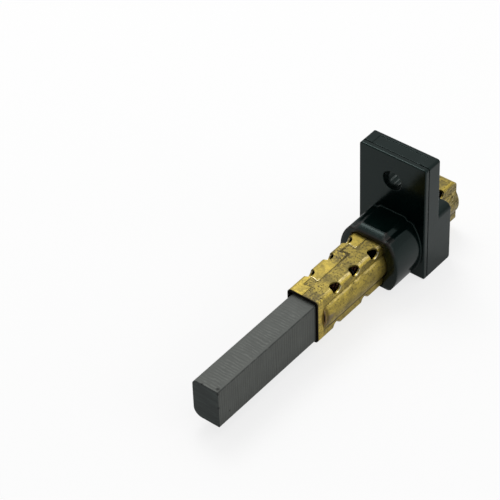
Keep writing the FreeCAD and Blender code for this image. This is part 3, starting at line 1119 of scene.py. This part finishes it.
class CARBON_BRUSH_OT_holder(bpy.types.Operator):
    """Gives the moulded holder its finish"""

    bl_idname = "carbon_brush.holder"
    bl_label = "Holder"

    def execute(self, context):
        coated(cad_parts["holder"], moulding_finish(context.scene.carbon_brush_moulding))
        return {"FINISHED"}


class CARBON_BRUSH_OT_stage(bpy.types.Operator):
    """Sets up the floor, the studio light and the camera"""

    bl_idname = "carbon_brush.stage"
    bl_label = "Studio Stage"

    def execute(self, context):
        settings = context.scene.carbon_brush_stage
        self.floor()
        self.surroundings(context.scene, settings)
        self.lamp("overhead_lamp", OVERHEAD_PLACE, OVERHEAD_WIDTH, settings.overhead_power)
        self.lamp("side_lamp", SIDE_PLACE, SIDE_WIDTH, settings.side_power)
        self.camera(context.scene)
        context.scene.view_settings.view_transform = "Standard"
        return {"FINISHED"}

    def floor(self):
        """Pale floor just under the holder, near white to the camera and grey as a light source."""
        half = FLOOR_HALF / MM
        z = HOLDER_LOW.z - FLOOR_GAP / MM
        corners = [(-half, -half, z), (half, -half, z), (half, half, z), (-half, half, z)]
        plane = shown_mesh("floor", corners, [(0, 1, 2, 3)])
        f = Finish("pale_floor")
        rays = f.node("ShaderNodeLightPath")
        camera = rays.outputs["Is Camera Ray"]
        glossy = rays.outputs["Is Glossy Ray"]
        through = rays.outputs["Is Transmission Ray"]
        seen = f.lowest(f.add(camera, f.add(glossy, through)), 1.0)
        plain = f.mix(seen, FLOOR_AS_LIGHT, FLOOR_REFLECTED)
        painted = f.mix(camera, plain, FLOOR_SEEN)
        diffuse = f.node("ShaderNodeBsdfDiffuse", painted)
        reflected = f.times(f.highest(glossy, through), GLOW_REFLECTED)
        own = f.add(f.times(camera, GLOW_SEEN), reflected)
        glow = f.node("ShaderNodeEmission", (1.0, 1.0, 1.0), own)
        f.surface(f.node("ShaderNodeAddShader", diffuse.outputs[0], glow.outputs[0]))
        plane.data.materials.append(f.material)

    def surroundings(self, scene, settings):
        """Studio walls, lighter towards the ceiling and the back, and white to the camera."""
        world = bpy.data.worlds.new("studio")
        world.use_nodes = True
        nodes = world.node_tree.nodes
        links = world.node_tree.links
        place = nodes.new("ShaderNodeTexCoord")
        split = nodes.new("ShaderNodeSeparateXYZ")
        links.new(place.outputs["Generated"], split.inputs[0])
        levels = []
        for axis, numbers in (
            ("Z", (*WALL_RISE, settings.horizon, settings.ceiling)),
            ("Y", (*WALL_DEPTH, settings.front, 1.0)),
        ):
            level = nodes.new("ShaderNodeMapRange")
            level.interpolation_type = "SMOOTHSTEP"
            for socket, number in zip(list(level.inputs)[1:], numbers):
                socket.default_value = number
            links.new(split.outputs[axis], level.inputs[0])
            levels.append(level.outputs[0])
        level = nodes.new("ShaderNodeMath")
        level.operation = "MULTIPLY"
        links.new(levels[0], level.inputs[0])
        links.new(levels[1], level.inputs[1])
        rays = nodes.new("ShaderNodeLightPath")
        seen = nodes.new("ShaderNodeMath")
        seen.operation = "MAXIMUM"
        links.new(rays.outputs["Is Camera Ray"], seen.inputs[0])
        links.new(level.outputs[0], seen.inputs[1])
        back = nodes["Background"]
        links.new(seen.outputs[0], back.inputs["Color"])
        back.inputs["Strength"].default_value = 1.0
        scene.world = world

    def lamp(self, name, place, width, power):
        """Square soft lamp aimed at the tube."""
        light = bpy.data.lights.new(name, "AREA")
        light.shape = "SQUARE"
        light.size = width
        light.energy = power
        lamp = bpy.data.objects.new(name, light)
        lamp.location = place
        aim = Vector(LAMP_AIM) - Vector(place)
        lamp.rotation_mode = "QUATERNION"
        lamp.rotation_quaternion = aim.to_track_quat("-Z", "Y")
        bpy.context.scene.collection.objects.link(lamp)

    def camera(self, scene):
        """Camera at the photograph's angle."""
        data = bpy.data.cameras.new("camera")
        data.sensor_width = 36.0
        data.lens = CAMERA_LENS
        data.clip_start = 0.01
        data.clip_end = 20.0
        camera = bpy.data.objects.new("camera", data)
        camera.location = CAMERA_PLACE
        camera.rotation_mode = "XYZ"
        camera.rotation_euler = [math.radians(angle) for angle in CAMERA_TURN]
        scene.collection.objects.link(camera)
        scene.camera = camera


class CARBON_BRUSH_PT_pieces(bpy.types.Panel):
    """Lists the brush's pieces, their settings and the stage"""

    bl_idname = "CARBON_BRUSH_PT_pieces"
    bl_label = "Carbon Brush"
    bl_space_type = "VIEW_3D"
    bl_region_type = "UI"
    bl_category = "Carbon Brush"

    def draw(self, context):
        scene = context.scene
        for title, operators, settings in PANEL_ROWS:
            box = self.layout.box()
            box.label(text=title)
            group = getattr(scene, settings)
            for name in group.__annotations__:
                box.prop(group, name)
            for operator in operators:
                box.operator(operator)


PANEL_ROWS = (
    ("Carbon", ("carbon_brush.carbon_block",), "carbon_brush_carbon"),
    ("Copper", ("carbon_brush.tamping_plug", "carbon_brush.copper_flex"), "carbon_brush_flex"),
    ("Brass", ("carbon_brush.guide_tube",), "carbon_brush_brass"),
    ("Spring", ("carbon_brush.pressure_spring",), "carbon_brush_spring"),
    ("Moulding", ("carbon_brush.holder",), "carbon_brush_moulding"),
    ("Stage", ("carbon_brush.stage",), "carbon_brush_stage"),
)
SETTINGS = {
    "carbon_brush_carbon": CarbonSettings,
    "carbon_brush_flex": FlexSettings,
    "carbon_brush_brass": BrassSettings,
    "carbon_brush_spring": SpringSettings,
    "carbon_brush_moulding": MouldingSettings,
    "carbon_brush_stage": StageSettings,
}
CLASSES = (
    *SETTINGS.values(),
    CARBON_BRUSH_OT_carbon_block,
    CARBON_BRUSH_OT_tamping_plug,
    CARBON_BRUSH_OT_copper_flex,
    CARBON_BRUSH_OT_guide_tube,
    CARBON_BRUSH_OT_pressure_spring,
    CARBON_BRUSH_OT_holder,
    CARBON_BRUSH_OT_stage,
    CARBON_BRUSH_PT_pieces,
)


def register():
    for made in CLASSES:
        bpy.utils.register_class(made)
    for name, group in SETTINGS.items():
        setattr(bpy.types.Scene, name, bpy.props.PointerProperty(type=group))


def unregister():
    for name in SETTINGS:
        delattr(bpy.types.Scene, name)
    for made in reversed(CLASSES):
        bpy.utils.unregister_class(made)


def main():
    register()
    bpy.ops.carbon_brush.holder()
    bpy.ops.carbon_brush.guide_tube()
    bpy.ops.carbon_brush.carbon_block()
    bpy.ops.carbon_brush.tamping_plug()
    bpy.ops.carbon_brush.copper_flex()
    bpy.ops.carbon_brush.pressure_spring()
    bpy.ops.carbon_brush.stage()


if __name__ == "__main__":
    main()
